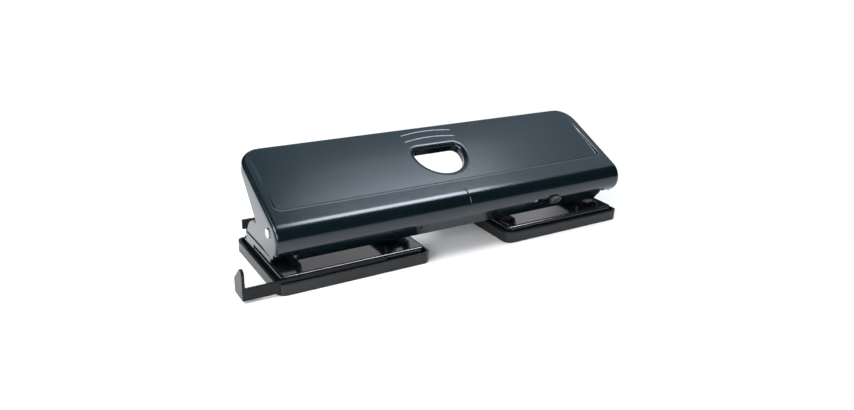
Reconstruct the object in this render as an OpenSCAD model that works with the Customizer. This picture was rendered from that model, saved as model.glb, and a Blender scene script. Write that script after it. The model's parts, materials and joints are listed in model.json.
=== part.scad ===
// Four-hole desk punch: a sprung lever handle over two chip-tray bases, with a sliding paper guide.
// Lengths are millimetres. X runs along the machine, Y from the user to the back, Z up.
// The origin is under the middle of the machine's box, guide included, on the desk.

/* [Punching] */
// Distance between neighbouring holes
hole_pitch = 80; // [70:1:100]
// Distance from the paper's edge to the hole centres
hole_margin = 12; // [10:0.5:14]
// Diameter of a punch pin
pin_d = 5.5; // [4.5:0.1:6.5]
// Height of the slot that takes the paper
throat_h = 3.2; // [2.5:0.1:4]
// Long side of the sheet that the guide is set for
sheet_len = 297; // [292:1:310]

/* [Handle] */
// Length of handle past each outer hole
handle_end = 9.5; // [9.4:0.1:10]
// Thickness of the handle's steel
sheet_t = 1.2; // [0.8:0.1:1.4]
// Slope of the handle's top at rest
top_slope = 25; // [23:0.5:26]
// Length of the flat top, from the nose to the back edge
top_len = 63.5; // [58:0.5:72]
// Radius of the rolled nose
nose_r = 11; // [10.6:0.1:12]
// Length of the apron under the nose
apron_len = 10.4; // [7:0.1:11]
// How far the apron stops short of the handle's ends
apron_end = 11.5; // [8:0.5:16]
// Depth of the turned-down back edge
skirt_h = 7; // [5:0.5:9]
// Bend radius at the handle's ends
bend_r = 2; // [1.5:0.1:2.5]
// Plan radius of the two back corners
back_r = 13; // [6:0.5:14]
// Turn of the handle when it is pressed down
travel = 20; // [16:0.5:21]

/* [Handle details] */
// Depth of the sunk panel at its front edge
panel_sink = 1.2; // [0.6:0.1:1.6]
// Border between the sunk panel and the handle's ends
panel_border = 5.5; // [4:0.5:9]
// Width of the finger hole
finger_w = 36; // [30:1:44]
// Depth of the finger hole's collar
collar_h = 6.8; // [4:0.1:7.5]
// Length of the lock's slot
lock_slot_len = 23.4; // [20:0.1:26]
// Length of the lock's knob
knob_len = 9; // [7:0.5:10]

/* [Pivot] */
// Diameter of the axle
axle_d = 6; // [5:0.1:7]
// Height of the axle above the desk
pivot_z = 33.5; // [33:0.1:36]
// Distance from the pins forward to the axle
pivot_reach = 20.2; // [18:0.1:22]

/* [Bases] */
// Length of tray past each of its two holes
tray_end = 10.5; // [10.2:0.1:14]
// Depth of a tray, front to back
tray_depth = 75; // [72:0.5:90]
// Distance from the tray's front to the pins
pin_from_front = 35.5; // [34:0.5:38]
// Height of the tray's rim
tray_h = 7; // [6:0.1:9]
// Thickness of the tray's wall
tray_wall = 1.6; // [1.2:0.1:1.8]
// Thickness of the tray's floor
tray_floor = 1.2; // [0.8:0.1:1.6]
// Corner radius of the tray
tray_r = 6; // [4:0.5:10]
// Step in from the tray's outside to the base plate's edge
plate_inset = 3.7; // [3.6:0.1:4.6]
// Height of the base plate above the tray's rim
plate_rise = 3; // [2.5:0.1:4]
// Thickness of the base plate and the brackets
plate_t = 1.5; // [1:0.1:1.8]

/* [Springs] */
// Wire of a return spring
wire_d = 0.7; // [0.5:0.05:0.8]
// Middle diameter of a return spring
coil_d = 7.4; // [7.2:0.1:7.8]
// Curls of a return spring
coil_turns = 5; // [4:0.5:5.5]

/* [Paper guide] */
// Thickness of the guide's bar
guide_t = 1.4; // [1:0.1:1.4]
// Height of the guide's bar
guide_h = 7.7; // [6:0.1:8]
// Length of bar kept inside the tray
guide_grip = 70; // [60:1:80]
// Height of the end stop
stop_h = 18.5; // [15:0.5:22]
// Depth of the end stop
stop_depth = 14; // [10:0.5:18]

/* [Hidden] */
$fn = 64;

// Clearances
run_gap = 0.05;
press_gap = 0.08;
side_gap = 0.3;
slide_gap = 0.35;
seat_gap = 0.2;
cut = 1;

// Places along X
hole_x = [for (k = [-1.5, -0.5, 0.5, 1.5]) k * hole_pitch];
base_x = hole_pitch;
tray_len = hole_pitch + 2 * tray_end;
tray_out = base_x + tray_len / 2;
handle_half = 1.5 * hole_pitch + handle_end;
side_out = handle_half - sheet_t - side_gap;
side_t = 2;
side_step = 0.6;
side_rear_r = 16.5;
side_rear_foot = 3.5;
side_rear_in = [3, 1];
side_neck = 4;
side_step_up = 3.5;
side_in = side_out - side_t;
stop_t = 1.8;
stop_x = -sheet_len / 2;
frame_x = (sheet_len / 2 + stop_t - tray_out) / 2;

// Places along Y and Z
tray_front = -tray_depth / 2;
pin_y = tray_front + pin_from_front;
edge_y = pin_y + hole_margin;
pivot_y = pin_y - pivot_reach;
plate_z = tray_h + plate_rise;
plate_len = tray_len - 2 * plate_inset;
plate_depth = tray_depth - 2 * plate_inset;
plate_flange = 5.5;
plate_r = 4;
plate_edge_r = 2;

// Handle frame: its origin is the nose's centre, v runs up the slope and w is square to the top
pivot_v = 3;
pivot_w = 2.1;
nose_y = pivot_y - pivot_v * cos(top_slope) + pivot_w * sin(top_slope);
nose_z = pivot_z - pivot_v * sin(top_slope) - pivot_w * cos(top_slope);
nose_wrap = 190;
end_wrap = 210;
apron_step = 0.1;
apron_relief = 0.8;
rim_steps = 6;
wall_front_angle = 231;
wall_front_proud = 0.7;
wall_front = (nose_r + wall_front_proud) * [cos(wall_front_angle), sin(wall_front_angle)];
wall_low = [4.8, -17.4];
wall_low_r = 4;
skirt_run = 14;
wall_back = [top_len - skirt_run, nose_r - skirt_h];
panel_v = 10.2;
panel_fade = 38;
panel_r = 5;
panel_side = 4;

// Finger hole and grip ribs
finger_v = 37.6;
finger_back = 6;
finger_corner = 5;
collar_t = 1.2;
bead_w = 2;
bead_h = 0.5;
rib_v = [53.4, 59.6];
rib_r = 96;
rib_half = 20;
rib_w = 1.5;
rib_h = 0.6;

// Lock
lock_angle = 187;
lock_slot_h = 4.4;
lock_slot_x = 52.7;
knob_stop = 0.7;
knob_x = lock_slot_x + lock_slot_len - knob_len / 2 - knob_stop;
knob_h = 5.6;
knob_rise = 2;
slider_t = 1.4;
slider_r = nose_r - sheet_t - seat_gap;
slider_arc = [165, 227];
slider_x = [62, 80];
tongue_t = 1.2;
tongue_w = 3.4;
tongue_reach = 2.6;
tongue_angle = 224;
tongue_hold = 1.2;

// Press rails bear on the pin heads; the bearing is level with the axle halfway down
press_arm = pivot_reach / cos(travel / 2);
press_r = 3;
press_z = pivot_z + press_arm * sin(travel / 2);
press_gap_z = 0.15;
rail_past = 9.5;
rail_inner = hole_x[2] - rail_past;
rail_end_gap = 0.5;
rail_flange = 10;

// Punch brackets
guide_z = plate_z + throat_h;
guide_step = 5.8;
bracket_top = guide_z + guide_step + plate_t;
bracket_long = 12;
bracket_short = side_in - hole_x[3];
bracket_front = 14;
foot_len = 8;
boss_r = 5.2;
neck_w = 6;
spoke_w = 1.6;
spoke_r = 11.2;
boss_blend = 1;
bracket_rivet_in = 4;

// Pins and dies
pin_lift = 0.4;
pin_tip_z = guide_z + pin_lift;
head_d = 9;
head_t = 2;
head_edge = 0.5;
head_z = press_z - press_r - press_gap_z;
notch_r = 5;
notch_deep = 1;
die_wall_gap = 0.8;
die_lip = 0.5;
die_lip_d = 2 * (tray_end - plate_inset - plate_t - die_wall_gap);
die_d = die_lip_d - 2 * die_lip;
die_lip_t = 1;

// Tie rail, rivets and tray posts
tie_h = 11.5;
tie_w = 11.5;
tie_t = 2;
foot_gap = 0.5;
tie_y = edge_y + plate_t + foot_len + foot_gap;
tie_tab_h = 6;
rail_rivet_share = 0.4;
rivet_d = 3;
rivet_head_d = 5.2;
rivet_head_h = 1;
rivet_tail_d = 4.4;
rivet_tail_h = 0.7;
plate_rivet_x = tray_end - plate_inset - plate_t - plate_edge_r / 2 - rivet_tail_d / 2 - side_gap;
side_rivet_at = [[pivot_y + 8.2, guide_z + 6.3], [pivot_y + 4.9, pivot_z - 7.5]];
side_tail_d = guide_step - plate_t - 2 * seat_gap;
post_d = 6;
post_x = 28;
post_y = 24;
clip_d = 10;
clip_t = 0.8;
clip_groove = 0.4;
clip_x = side_in - plate_t - clip_t - run_gap;
axle_proud = 0.8;

// Paper guide
guide_y = tray_front + tray_wall + slide_gap;
guide_low = tray_floor + side_gap;
stop_r = 3;

black_paint = [0.12, 0.14, 0.16];
gloss_black = [0.05, 0.05, 0.06];
grey_plastic = [0.2, 0.21, 0.22];
bright_steel = [0.75, 0.76, 0.78];

// Points of an arc of radius r about c, from angle a0 to a1
function arc(c, r, a0, a1, n = 12) =
    [for (i = [0:n]) c + r * [cos(a0 + (a1 - a0) * i / n), sin(a0 + (a1 - a0) * i / n)]];

// Rectangle l by d about the origin, with round corners
function round_rect(l, d, r) = concat(
    arc([l / 2 - r, d / 2 - r], r, 0, 90),
    arc([r - l / 2, d / 2 - r], r, 90, 180),
    arc([r - l / 2, r - d / 2], r, 180, 270),
    arc([l / 2 - r, r - d / 2], r, 270, 360)
);

// Rectangle l wide and h high that stands on the X axis, with its two top corners round
function crown(l, h, r, n = 12) = concat(
    [[-l / 2, 0], [l / 2, 0]],
    arc([l / 2 - r, h - r], r, 0, 90, n),
    arc([r - l / 2, h - r], r, 90, 180, n)
);

function unit(p) = p / norm(p);

// Points that round the corner p, between the lines to a and b, with radius r
function fillet(p, a, b, r, n = 8) =
    let (u = unit(a - p), w = unit(b - p), half = acos(u * w) / 2)
    let (c = p + unit(u + w) * r / sin(half), start = p + u * r / tan(half) - c)
    let (turn = sign(u[0] * w[1] - u[1] * w[0]) * (2 * half - 180), a0 = atan2(start[1], start[0]))
    arc(c, r, a0, a0 + turn, n);

// Extrudes a profile drawn in Y and Z along X, from x0 to x1
module along_x(x0, x1) {
    translate([x0, 0, 0]) rotate([90, 0, 90]) linear_extrude(x1 - x0) children();
}

// Extrudes a profile drawn in X and Z along Y, from y0 to y1
module along_y(y0, y1) {
    translate([0, y1, 0]) rotate([90, 0, 0]) linear_extrude(y1 - y0) children();
}

module rod_x(x0, x1, r) {
    translate([x0, 0, 0]) rotate([0, 90, 0]) cylinder(h = x1 - x0, r = r);
}

// Moves the machine so that its box, guide included, is centred on the origin
module in_frame() {
    translate([frame_x, 0, 0]) children();
}

module on_handle() {
    translate([0, nose_y, nose_z]) rotate([top_slope, 0, 0]) children();
}

module at_pivot() {
    translate([0, pivot_y, pivot_z]) children();
}

// Keeps the right-hand shape for side = 1 and mirrors it for side = -1
module on_side(side) {
    mirror([side < 0 ? 1 : 0, 0, 0]) children();
}

// Handle

// Sheet outline in v and w, inset by g, whose front sheet ends at the angle wrap
module wedge_section(g, wrap) {
    reach = 1.3 * nose_r;
    low = -3 * nose_r;
    polygon(concat(
        [[top_len - g, nose_r - g]],
        arc([0, 0], nose_r - g, 90, wrap, 24),
        [reach * [cos(wrap), sin(wrap)], [-reach, low], [top_len - g, low]]
    ));
}

// Wedge's side view; its front tip ends inside the nose roll
module end_wall_section() {
    tip_r = 0.8 * nose_r;
    tip_angle = end_wrap - 5;
    polygon(concat(
        [wall_front],
        fillet(wall_low, wall_front, wall_back, wall_low_r),
        [wall_back, [top_len, nose_r - skirt_h], [top_len, nose_r]],
        [[0, nose_r], [0, 0], tip_r * [cos(tip_angle), sin(tip_angle)]]
    ));
}

// Rolled nose with rounded rims, cut to the angles that the nose covers
module nose_roll() {
    rim = concat(
        [[0, -handle_half]],
        arc([nose_r - bend_r, bend_r - handle_half], bend_r, -90, 0, rim_steps),
        arc([nose_r - bend_r, handle_half - bend_r], bend_r, 0, 90, rim_steps),
        [[0, handle_half]]
    );
    reach = 2 * nose_r;
    past_tip = 12;
    last = end_wrap + past_tip;
    intersection() {
        rotate([0, 90, 0]) rotate_extrude() polygon(rim);
        along_x(-handle_half - cut, handle_half + cut)
            polygon([[0, 0], [0, reach], [-reach, reach], [-reach, -reach * tan(last)]]);
    }
}

// Wedge behind the nose, with bent edges along its ends and round back corners in plan
module top_wedge() {
    low = 3 * nose_r;
    intersection() {
        along_x(-handle_half, handle_half) end_wall_section();
        translate([0, 0, -low]) along_y(-top_len, top_len + cut)
            polygon(crown(2 * handle_half, nose_r + low, bend_r, rim_steps));
        translate([0, 0, -low]) linear_extrude(nose_r + low + cut)
            polygon(concat(
                [[-handle_half, -top_len], [handle_half, -top_len]],
                arc([handle_half - back_r, top_len - back_r], back_r, 0, 90),
                arc([back_r - handle_half, top_len - back_r], back_r, 90, 180)
            ));
    }
}

// Sunk panel, grown by g and lowered by drop: it fades out to the back and slopes up to its sides
module panel_sink_wedge(g, drop) {
    half = handle_half - panel_border + g;
    top = nose_r + cut;
    rim = nose_r - drop;
    intersection() {
        along_x(-half, half) polygon([
            [panel_v - g, rim - panel_sink],
            [panel_v + panel_fade, rim],
            [panel_v + panel_fade, top],
            [panel_v - g, top]
        ]);
        along_y(0, top_len) polygon([
            [-half, rim],
            [panel_side - half, rim - panel_sink],
            [half - panel_side, rim - panel_sink],
            [half, rim],
            [half, top],
            [-half, top]
        ]);
        linear_extrude(top) translate([0, panel_v - g + panel_fade])
            polygon(round_rect(2 * half, 2 * panel_fade, panel_r + g));
    }
}

// Finger hole's outline, grown by g: round in front and nearly straight behind
module finger_outline(g) {
    half = finger_w / 2;
    corner = half - finger_corner;
    translate([0, finger_v]) polygon(concat(
        arc([0, 0], half + g, 180, 360, 24),
        arc([corner, finger_back - finger_corner], finger_corner + g, 0, 90, 6),
        arc([-corner, finger_back - finger_corner], finger_corner + g, 90, 180, 6)
    ));
}

module grip_rib(v) {
    spread = asin(rib_half / rib_r);
    translate([0, v - rib_r, nose_r - sheet_t / 2]) linear_extrude(sheet_t / 2 + rib_h)
        polygon(concat(
            arc([0, 0], rib_r + rib_w / 2, 90 - spread, 90 + spread, 16),
            arc([0, 0], rib_r - rib_w / 2, 90 + spread, 90 - spread, 16)
        ));
}

module apron() {
    half = handle_half - apron_end - apron_relief;
    overlap = 0.5;
    rotate([nose_wrap, 0, 0]) translate([-half, nose_r - apron_step - sheet_t, -overlap])
        cube([2 * half, sheet_t, apron_len + overlap]);
}

// Round-ended bar l long and h high, from y0 to y1 out from the nose's axis
module nose_bar(l, h, y0, y1) {
    flat = l - h;
    translate([-flat / 2, y0, -h / 2]) cube([flat, y1 - y0, h]);
    for (x = [-flat / 2, flat / 2])
        translate([x, y1, 0]) rotate([90, 0, 0]) cylinder(h = y1 - y0, r = h / 2);
}

module nose_groove() {
    groove_w = 0.7;
    groove_deep = 0.4;
    along_x(-groove_w / 2, groove_w / 2) difference() {
        polygon(concat([[0, 0]], arc([0, 0], nose_r + cut, 74, 140)));
        circle(r = nose_r - groove_deep);
    }
}

module handle_shell() color(black_paint) in_frame() on_handle() {
    inside = handle_half - sheet_t;
    slit_x = -35.4;
    slit_up = 1;
    slit = [1.2, 2 * sheet_t + cut, 3];
    difference() {
        union() {
            difference() {
                union() {
                    nose_roll();
                    top_wedge();
                }
                panel_sink_wedge(0, 0);
                difference() {
                    union() {
                        along_x(-inside, inside) wedge_section(sheet_t, end_wrap);
                        along_x(apron_end - handle_half, handle_half - apron_end) wedge_section(sheet_t, nose_wrap);
                    }
                    panel_sink_wedge(sheet_t, sheet_t);
                }
            }
            apron();
            translate([0, 0, nose_r - collar_h]) linear_extrude(collar_h + bead_h) finger_outline(collar_t);
            translate([0, 0, nose_r - panel_sink - sheet_t]) linear_extrude(panel_sink + sheet_t + bead_h)
                finger_outline(bead_w);
            for (v = rib_v) grip_rib(v);
        }
        translate([0, 0, -nose_r]) linear_extrude(3 * nose_r) finger_outline(0);
        nose_groove();
        rotate([lock_angle, 0, 0]) translate([lock_slot_x + lock_slot_len / 2, 0, 0])
            nose_bar(lock_slot_len, lock_slot_h, nose_r - 3 * sheet_t, nose_r + cut);
        rotate([lock_angle, 0, 0]) translate([slit_x, nose_r - sheet_t - cut / 2, slit_up]) cube(slit);
        translate([0, pivot_v, pivot_w]) rod_x(-handle_half - cut, handle_half + cut, axle_d / 2 + run_gap);
    }
}

// Round bearing edge of a press rail with its two walls, r from the middle to the face
module rail_bearing(r) {
    translate([pin_y, press_z]) circle(r = r);
    translate([pin_y - r, press_z]) square([2 * r, 2 * nose_r]);
}

// Folded rail under the handle's top; its round edge bears on two pin heads
module press_rail(side) color(black_paint) in_frame() on_side(side) {
    top_v = (pin_y - nose_y) / cos(top_slope) + nose_r * tan(top_slope);
    front_v = top_v - rail_flange;
    under_w = nose_r - sheet_t - panel_sink * (1 - (front_v - panel_v) / panel_fade) - seat_gap;
    along_x(rail_inner, side_in - rail_end_gap) difference() {
        intersection() {
            union() {
                rail_bearing(press_r);
                translate([nose_y, nose_z]) rotate(top_slope)
                    translate([front_v, under_w - plate_t]) square([2 * rail_flange, plate_t]);
            }
            translate([nose_y, nose_z]) rotate(top_slope)
                translate([0, -top_len]) square([top_len, top_len + under_w]);
        }
        rail_bearing(press_r - plate_t);
    }
}

module lock_slider() color(black_paint) in_frame() on_handle() {
    along_x(slider_x[0], slider_x[1]) polygon(concat(
        arc([0, 0], slider_r, slider_arc[0], slider_arc[1], 16),
        arc([0, 0], slider_r - slider_t, slider_arc[1], slider_arc[0], 16)
    ));
    root = slider_r - slider_t / 2;
    rotate([tongue_angle, 0, 0])
        translate([slider_x[0], root - tongue_reach - slider_t / 2, -tongue_t / 2])
            cube([tongue_w, tongue_reach + slider_t / 2, tongue_t]);
}

module lock_knob() color(gloss_black) in_frame() on_handle() rotate([lock_angle, 0, 0]) translate([knob_x, 0, 0]) {
    ridge = 0.5;
    ridge_pitch = 1.6;
    stem_in = 1;
    stem_h = lock_slot_h - 2 * slide_gap;
    cap_low = nose_r + seat_gap;
    difference() {
        nose_bar(knob_len, knob_h, cap_low, cap_low + knob_rise);
        for (k = [-1, 0, 1])
            translate([ridge_pitch * k - ridge / 2, cap_low + knob_rise - ridge, -knob_h]) cube([ridge, cut, 2 * knob_h]);
        rod_x(-knob_len, knob_len, cap_low);
    }
    difference() {
        nose_bar(knob_len - stem_in, stem_h, slider_r - stem_in, cap_low + knob_rise / 2);
        rod_x(-knob_len, knob_len, slider_r);
    }
}

// Frame

module pivot_axle() color(bright_steel) in_frame() at_pivot() {
    out = handle_half + axle_proud;
    difference() {
        rod_x(-out, out, axle_d / 2);
        for (side = [-1, 1]) on_side(side) difference() {
            rod_x(clip_x - run_gap, clip_x + clip_t + run_gap, axle_d);
            rod_x(clip_x - cut, clip_x + 2 * clip_t, axle_d / 2 - clip_groove);
        }
    }
}

module axle_clips() color(bright_steel) in_frame() at_pivot() {
    for (side = [-1, 1]) on_side(side) difference() {
        rod_x(clip_x, clip_x + clip_t, clip_d / 2);
        rod_x(clip_x - cut, clip_x + cut + clip_t, axle_d / 2 - clip_groove + press_gap);
        translate([clip_x - cut, -axle_d / 3, -clip_d]) cube([clip_t + 2 * cut, 2 * axle_d / 3, clip_d]);
    }
}

module side_outline() {
    rear = [edge_y, guide_z] - side_rear_in;
    polygon(concat(
        [[pivot_y + side_neck, guide_z], [edge_y, guide_z], [edge_y, plate_z]],
        [[rear[0] + side_rear_r + side_rear_foot, plate_z]],
        arc(rear, side_rear_r, 0, 90),
        [[pivot_y + boss_r, pivot_z], [pivot_y - side_neck, pivot_z - side_neck]]
    ));
    translate([pivot_y, pivot_z]) circle(r = boss_r + 1);
}

// Cheek at the outer end of a base: it carries the axle and clears the paper in front of the stop
module side_plate(side) color(black_paint) in_frame() on_side(side) difference() {
    along_x(side_in, side_out) side_outline();
    translate([side_out - side_step, -tray_depth, guide_z + side_step_up]) cube([cut, 2 * tray_depth, 2 * pivot_z]);
    at_pivot() rod_x(side_in - cut, side_out + cut, axle_d / 2 + press_gap);
    side_rivet_places() rod_x(side_in - cut, side_out + cut, rivet_d / 2 + press_gap);
}

module side_rivet_places() {
    for (p = side_rivet_at) translate([0, p[0], p[1]]) children();
}

module side_rivets() color(black_paint) in_frame() {
    inner = side_in - plate_t;
    for (side = [-1, 1]) on_side(side) side_rivet_places() {
        rod_x(inner, side_out - side_step, rivet_d / 2);
        rod_x(inner - rivet_tail_h, inner, side_tail_d / 2);
    }
}

// Angle that joins the two bases along the back, with a tab behind each side plate
module tie_rail() color(black_paint) in_frame() difference() {
    half = side_in - rail_end_gap;
    web_y = tie_y + tie_w - tie_t;
    union() {
        along_x(-half, half) translate([tie_y, plate_z]) square([tie_w, tie_t]);
        along_x(-half, half) translate([web_y, plate_z]) square([tie_t, tie_h]);
        along_x(-side_out, side_out) translate([web_y, plate_z + tie_h - tie_tab_h]) square([tie_t, tie_tab_h]);
    }
    rail_rivet_places() cylinder(h = 4 * plate_z, r = rivet_d / 2 + press_gap);
}

module rail_rivet_places() {
    for (side = [-1, 1], x = [-rail_rivet_share, rail_rivet_share])
        translate([side * base_x + x * plate_len, tie_y + (tie_w - tie_t) / 2, 0]) children();
}

// Rivet through the base plate and a flange of thickness t on top of it
module plate_rivet(t) {
    under = plate_z - plate_t;
    translate([0, 0, under - rivet_tail_h]) cylinder(h = rivet_tail_h, r = rivet_tail_d / 2);
    translate([0, 0, under]) cylinder(h = plate_t + t, r = rivet_d / 2);
    translate([0, 0, plate_z + t]) cylinder(h = rivet_head_h, r = rivet_head_d / 2);
}

module rail_rivets() color(bright_steel) in_frame() rail_rivet_places() plate_rivet(tie_t);

// Block l by d with a crowned top at z1, open to z0 below
module crowned_block(l, d, z0, z1, corner_r, edge_r) {
    translate([0, 0, z0]) intersection() {
        linear_extrude(z1 - z0) polygon(round_rect(l, d, corner_r));
        along_y(-d, d) polygon(crown(l, z1 - z0, edge_r));
        along_x(-l, l) polygon(crown(d, z1 - z0, edge_r));
    }
}

// Pressed steel pan, upside down over the chip tray
module base_plate(side) color(gloss_black) in_frame() difference() {
    translate([side * base_x, 0, 0]) difference() {
        low = plate_z - plate_flange;
        crowned_block(plate_len, plate_depth, low, plate_z, plate_r, plate_edge_r);
        crowned_block(plate_len - 2 * plate_t, plate_depth - 2 * plate_t, low - cut, plate_z - plate_t,
            plate_r - plate_t, plate_edge_r / 2);
    }
    for (x = hole_x) translate([x, pin_y, 0]) cylinder(h = 2 * plate_z, r = die_d / 2 + press_gap);
    bracket_rivet_places() cylinder(h = 2 * plate_z, r = rivet_d / 2 + press_gap);
    rail_rivet_places() cylinder(h = 2 * plate_z, r = rivet_d / 2 + press_gap);
}

module die(i) color(bright_steel) in_frame() translate([hole_x[i], pin_y, 0]) difference() {
    under = plate_z - plate_t;
    union() {
        translate([0, 0, under - die_lip_t]) cylinder(h = die_lip_t - press_gap, r = die_lip_d / 2);
        translate([0, 0, under - die_lip_t]) cylinder(h = die_lip_t + plate_t, r = die_d / 2);
    }
    cylinder(h = 2 * plate_z, r = pin_d / 2 + run_gap);
}

// Short side of each bracket: towards the outside on the outer units, the middle on the inner ones
function bracket_turn(i) = i % 2 == 0 ? -1 : 1;

module bracket_rivet_places() {
    for (i = [0:3]) translate([hole_x[i], edge_y + plate_t + foot_len / 2, 0])
        for (x = [bracket_rivet_in - bracket_long, plate_rivet_x])
            translate([bracket_turn(i) * x, 0, 0]) children();
}

module bracket_rivets() color(bright_steel) in_frame() bracket_rivet_places() plate_rivet(plate_t);

// Side of a bracket: it ties the two guides and hangs the axle in front of them
module cheek_outline() {
    back = edge_y + plate_t;
    difference() {
        union() {
            polygon([
                [pin_y - bracket_front, guide_z],
                [back, guide_z],
                [back, bracket_top],
                [pivot_y + boss_r + neck_w, bracket_top],
                [pivot_y + boss_r - boss_blend / 2, pivot_z],
                [pivot_y, pivot_z - boss_r + boss_blend]
            ]);
            translate([pivot_y, pivot_z]) circle(r = boss_r);
        }
        translate([pivot_y, pivot_z]) circle(r = axle_d / 2 + run_gap);
    }
}

// Finger on the cheek beside the lock, which the lock's tongue drops behind
module lock_finger() {
    hold_r = slider_r - slider_t - tongue_hold;
    along_tongue = atan2(
        nose_z - pivot_z + hold_r * sin(tongue_angle + top_slope),
        nose_y - pivot_y + hold_r * cos(tongue_angle + top_slope)
    );
    root_r = boss_r - boss_blend;
    translate([pivot_y, pivot_z]) rotate(along_tongue - travel / 2)
        translate([root_r, -spoke_w / 2]) square([spoke_r - root_r, spoke_w]);
}

module punch_bracket(i) color(gloss_black) in_frame() {
    back = edge_y + plate_t;
    difference() {
        translate([hole_x[i], 0, 0]) on_side(bracket_turn(i)) {
            along_x(-bracket_long, bracket_short) union() {
                translate([pin_y - bracket_front, guide_z]) square([bracket_front + hole_margin, plate_t]);
                translate([pin_y - bracket_front / 2, guide_z + guide_step])
                    square([bracket_front / 2 + hole_margin, plate_t]);
                translate([edge_y, plate_z]) square([plate_t, bracket_top - plate_z]);
                translate([back, plate_z]) square([foot_len, plate_t]);
            }
            for (x = [-bracket_long, bracket_short - plate_t]) along_x(x, x + plate_t) cheek_outline();
            if (i == 2) along_x(-bracket_long, plate_t - bracket_long) lock_finger();
        }
        translate([hole_x[i], pin_y, plate_z + plate_t]) cylinder(h = pivot_z, r = pin_d / 2 + run_gap);
        bracket_rivet_places() cylinder(h = 2 * plate_z, r = rivet_d / 2 + press_gap);
        for (side = [-1, 1]) on_side(side) side_rivet_places()
            rod_x(side_in - 2 * plate_t, side_out, rivet_d / 2 + press_gap);
    }
}

// Punch pins and springs

// Pin with a flat head and a notched tip that cuts from two points
module punch_pin(i) color(bright_steel) in_frame() translate([hole_x[i], pin_y, 0]) difference() {
    rotate_extrude() polygon([
        [0, pin_tip_z],
        [pin_d / 2, pin_tip_z],
        [pin_d / 2, head_z - head_t],
        [head_d / 2, head_z - head_t],
        [head_d / 2, head_z - head_edge],
        [head_d / 2 - head_edge, head_z],
        [0, head_z]
    ]);
    translate([0, 0, pin_tip_z - notch_r + notch_deep]) rotate([90, 0, 0])
        cylinder(h = 2 * pin_d, r = notch_r, center = true);
}

// Wire of one spring: rings of six points along a helix, closed at both ends
coil_rings = 8;
wire_sides = 6;
coil_low = bracket_top + seat_gap / 2 + wire_d / 2;
coil_high = head_z - head_t - seat_gap / 2 - wire_d / 2;
coil_count = coil_rings * coil_turns;
function coil_ring(k) = [for (s = [0:wire_sides - 1])
    let (turn = 360 * k / coil_rings, a = 360 * s / wire_sides, r = coil_d / 2 + wire_d / 2 * cos(a))
    [r * cos(turn), r * sin(turn), coil_low + (coil_high - coil_low) * k / coil_count + wire_d / 2 * sin(a)]];
function coil_axis(k) = [coil_d / 2 * cos(360 * k / coil_rings), coil_d / 2 * sin(360 * k / coil_rings),
    coil_low + (coil_high - coil_low) * k / coil_count];
coil_points = [for (k = [0:coil_count], p = coil_ring(k)) p];
coil_skin = [for (k = [0:coil_count - 1], s = [0:wire_sides - 1])
    let (a = k * wire_sides + s, b = k * wire_sides + (s + 1) % wire_sides)
    each [[a, a + wire_sides, b], [b, a + wire_sides, b + wire_sides]]];
coil_caps = [for (s = [1:wire_sides - 2])
    each [[0, s, s + 1], [coil_count * wire_sides, coil_count * wire_sides + s + 1, coil_count * wire_sides + s]]];
coil_gap = min([for (k = [0:coil_count - coil_rings]) norm(coil_axis(k + coil_rings) - coil_axis(k))]) - wire_d;
echo(str("Least gap between two curls of a spring: ", coil_gap, " mm"));

module return_spring(i) color(bright_steel) in_frame() translate([hole_x[i], pin_y, 0])
    polyhedron(points = coil_points, faces = concat(coil_skin, coil_caps));

// Trays and guide

module tray(side) color(grey_plastic) in_frame() {
    rim_r = 0.7;
    difference() {
        translate([side * base_x, 0, 0]) {
            difference() {
                crowned_block(tray_len, tray_depth, 0, tray_h, tray_r, rim_r);
                translate([0, 0, tray_floor]) linear_extrude(2 * tray_h)
                    polygon(round_rect(tray_len - 2 * tray_wall, tray_depth - 2 * tray_wall, tray_r - tray_wall));
            }
            for (x = [-post_x, post_x], y = [-post_y, post_y])
                translate([x, y, 0]) cylinder(h = plate_z - plate_t - seat_gap, r = post_d / 2);
        }
        if (side < 0) translate([-tray_out - cut, guide_y - slide_gap, guide_low - side_gap])
            cube([cut + tray_r, guide_t + 2 * slide_gap, 2 * tray_h]);
    }
}

// Thin bar with a stop that is tall in front and lower behind
module paper_guide() color(grey_plastic) in_frame() {
    low = guide_low;
    inner_end = guide_grip - tray_out;
    translate([stop_x, guide_y, low]) cube([inner_end - stop_x, guide_t, guide_h]);
    along_x(stop_x - stop_t, stop_x) translate([guide_y, low])
        polygon(concat(
            [[0, 0], [stop_depth, 0], [stop_depth, stop_h / 2]],
            arc([stop_r, stop_h - stop_r], stop_r, 60, 180, 6)
        ));
}

handle_shell();
press_rail(-1);  // press_rail_left
press_rail(1);  // press_rail_right
lock_slider();
lock_knob();
pivot_axle();
axle_clips();
side_plate(-1);  // side_plate_left
side_plate(1);  // side_plate_right
tie_rail();
base_plate(-1);  // base_plate_left
base_plate(1);  // base_plate_right
tray(-1);  // tray_left
tray(1);  // tray_right
paper_guide();
punch_bracket(0);  // punch_bracket_1
punch_bracket(1);  // punch_bracket_2
punch_bracket(2);  // punch_bracket_3
punch_bracket(3);  // punch_bracket_4
die(0);  // die_1
die(1);  // die_2
die(2);  // die_3
die(3);  // die_4
bracket_rivets();
rail_rivets();
side_rivets();
punch_pin(0);  // punch_pin_1
punch_pin(1);  // punch_pin_2
punch_pin(2);  // punch_pin_3
punch_pin(3);  // punch_pin_4
return_spring(0);  // return_spring_1
return_spring(1);  // return_spring_2
return_spring(2);  // return_spring_3
return_spring(3);  // return_spring_4
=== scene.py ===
# %% [markdown]
# # A four-hole desk punch
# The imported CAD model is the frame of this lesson: it holds every size and every moving body.
# Blender adds what a press shop and a paint line add: rolled edges, soft steps in the sheet, and finishes.
# Lengths here are millimetres until a mesh is made, because the punch was drawn in them.

# %% Load the frame
import json
from math import ceil, cos, hypot, pi, radians, sin, sqrt, tan

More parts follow.
